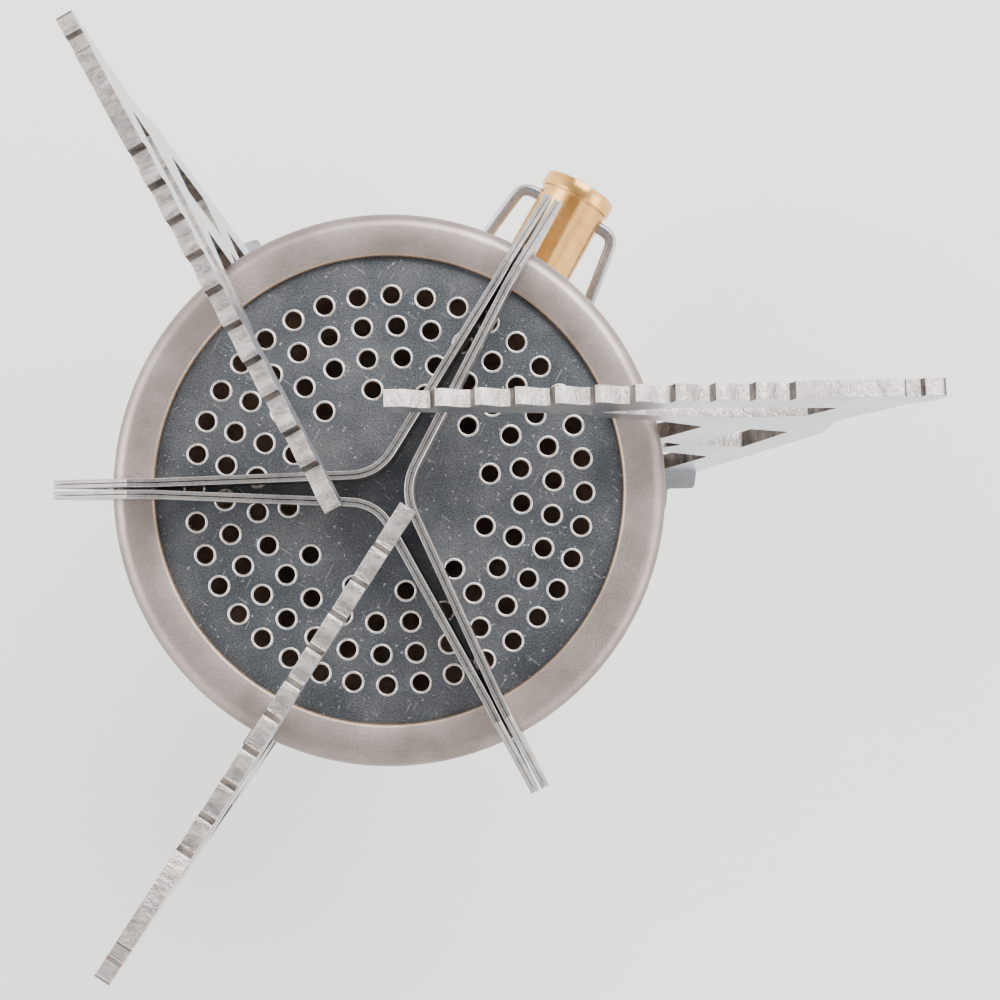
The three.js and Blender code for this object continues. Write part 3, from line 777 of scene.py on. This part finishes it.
def bail_handle():
    """Flattened wire bent in one plane, with a rounded rectangular section."""
    side = [(0, 2.4), (0, 5.0), (0.05, 5.8), (0.35, 6.55), (0.95, 7.05), (1.8, 7.3), (10, 8.4), (20, 9.75),
            (23.2, 9.9), (25.2, 9.1), (26.4, 7.7), (26.95, 5.6), (27, 3)]
    points = [Vector((-back, across)) for back, across in side]
    points += [Vector((point.x, -point.y)) for point in reversed(points)]
    wide, deep = 0.8, 0.74
    section = rounded([(wide, deep), (-wide, deep), (-wide, -deep), (wide, -deep)], 0.55, 4)
    made = bmesh.new()
    rings = []
    for step, point in enumerate(points):
        ahead = points[min(step + 1, len(points) - 1)] - points[max(step - 1, 0)]
        across = Vector((-ahead.y, ahead.x)).normalized()
        corners = [(*(point + across * aside), rise) for aside, rise in section]
        rings.append([made.verts.new(corner) for corner in corners])
    for before, after in zip(rings, rings[1:]):
        for corner in range(len(section)):
            made.faces.new((before[corner - 1], before[corner], after[corner], after[corner - 1]))
    made.faces.new(rings[0])
    made.faces.new(rings[-1])
    mesh = to_mesh(made, "bail_handle_fine")
    keep_own_frame(mesh)
    droop = Matrix.Rotation(math.radians(-BAIL_DROOP), 4, "Y")
    mesh.transform(Matrix.Translation((0, 0, BARREL_HEIGHT)) @ turned_about(BARREL_AZIMUTH)
                   @ Matrix.Translation((BAIL_PIVOT, 0, 0)) @ droop)
    piece = finished("bail_handle_fine", mesh, "bail", (STEEL,), ("bail_handle",),
                     sharp=60)
    smooth = piece.modifiers.new("smooth", "SUBSURF")
    smooth.levels = 1
    smooth.render_levels = 1


def dress_inner_nodes():
    """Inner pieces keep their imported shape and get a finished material."""
    finish = {
        "connector_seal": RUBBER, "spindle_o_ring": RUBBER, "pin_depressor": INNER_BRASS,
        "jet_filter": INNER_BRASS, "gas_jet": INNER_BRASS, "diffuser": HEAT, "valve_needle": STEEL,
    }
    for node, material in finish.items():
        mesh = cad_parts[node].data
        mesh.materials.clear()
        mesh.materials.append(material)


# ---------------------------------------------------------------- studio

CAMERA_HEIGHT = 200.0  # above the burner plate
CAMERA_SIDE = 9.3
CAMERA_BACK = -4.85


def camera():
    """Looks straight down, a little to one side of the stove's axis; the shifts frame it off centre."""
    lens = bpy.data.cameras.new("camera")
    lens.lens = 66.35
    lens.sensor_width = 36.0
    lens.shift_x = 0.025
    lens.shift_y = 0.035
    lens.clip_start = 0.01
    lens.clip_end = 5.0
    view = bpy.data.objects.new("camera", lens)
    view.location = (CAMERA_SIDE * MM, CAMERA_BACK * MM, (PLATE_TOP + CAMERA_HEIGHT) * MM)
    bpy.context.scene.collection.objects.link(view)
    bpy.context.scene.camera = view


def floor():
    """Pale floor half a millimetre below the connector."""
    mesh = bpy.data.meshes.new("floor")
    corners = [(-1.5, -1.5, 0), (1.5, -1.5, 0), (1.5, 1.5, 0), (-1.5, 1.5, 0)]
    mesh.from_pydata(corners, [], [(0, 1, 2, 3)])
    material, _, shader = nodes_of("pale_floor")
    shader.inputs["Base Color"].default_value = (0.93, 0.93, 0.93, 1.0)
    shader.inputs["Roughness"].default_value = 0.9
    mesh.materials.append(material)
    ground = bpy.data.objects.new("floor", mesh)
    ground.location = (0, 0, -0.0005)
    bpy.context.scene.collection.objects.link(ground)


def area_light(name, place, target, size, power):
    light = bpy.data.lights.new(name, "AREA")
    light.shape = "RECTANGLE"
    light.size, light.size_y = size
    light.energy = power
    lamp = bpy.data.objects.new(name, light)
    lamp.location = place
    lamp.rotation_euler = (Vector(target) - Vector(place)).to_track_quat("-Z", "Y").to_euler()
    bpy.context.scene.collection.objects.link(lamp)


def lighting():
    """Bright to the left and right, dimmer ahead, behind and overhead, so that the metal has contrast."""
    world = bpy.data.worlds.new("studio")
    world.use_nodes = True
    tree = world.node_tree
    background = tree.nodes["Background"]
    background.inputs["Color"].default_value = (1.0, 1.0, 1.0, 1.0)
    direction = tree.nodes.new("ShaderNodeTexCoord")
    parts = tree.nodes.new("ShaderNodeSeparateXYZ")
    tree.links.new(direction.outputs["Generated"], parts.inputs["Vector"])
    rise = spread(tree, parts.outputs["Z"], 2.5, 0.95, 0.42, 0.93)
    sideways = tree.nodes.new("ShaderNodeMath")
    sideways.operation = "ABSOLUTE"
    tree.links.new(parts.outputs["X"], sideways.inputs[0])
    strength = tree.nodes.new("ShaderNodeMath")
    strength.operation = "MULTIPLY"
    tree.links.new(rise, strength.inputs[0])
    tree.links.new(spread(tree, sideways.outputs["Value"], 0.55, 1.15, 0.1, 0.8), strength.inputs[1])
    tree.links.new(strength.outputs["Value"], background.inputs["Strength"])
    bpy.context.scene.world = world
    area_light("soft_top", (0.25, 0.45, 0.62), (0, 0, 0.06), (0.6, 0.5), 8.0)
    area_light("soft_left", (-0.6, 0.05, 0.45), (0, 0, 0.06), (0.4, 0.5), 3.0)
    area_light("soft_right", (0.6, -0.2, 0.40), (0, 0, 0.06), (0.4, 0.4), 1.6)


camera()
floor()
lighting()
burner_plate()
rim_ring()
burner_cup()
for number in range(3):
    divider_blade(number)
    pot_support(number)
support_hub()
rivets_and_washers()
canister_connector()
valve_body()
mixing_tube()
hub_lock_nut()
gland_nut()
control_knob()
bail_handle()
dress_inner_nodes()
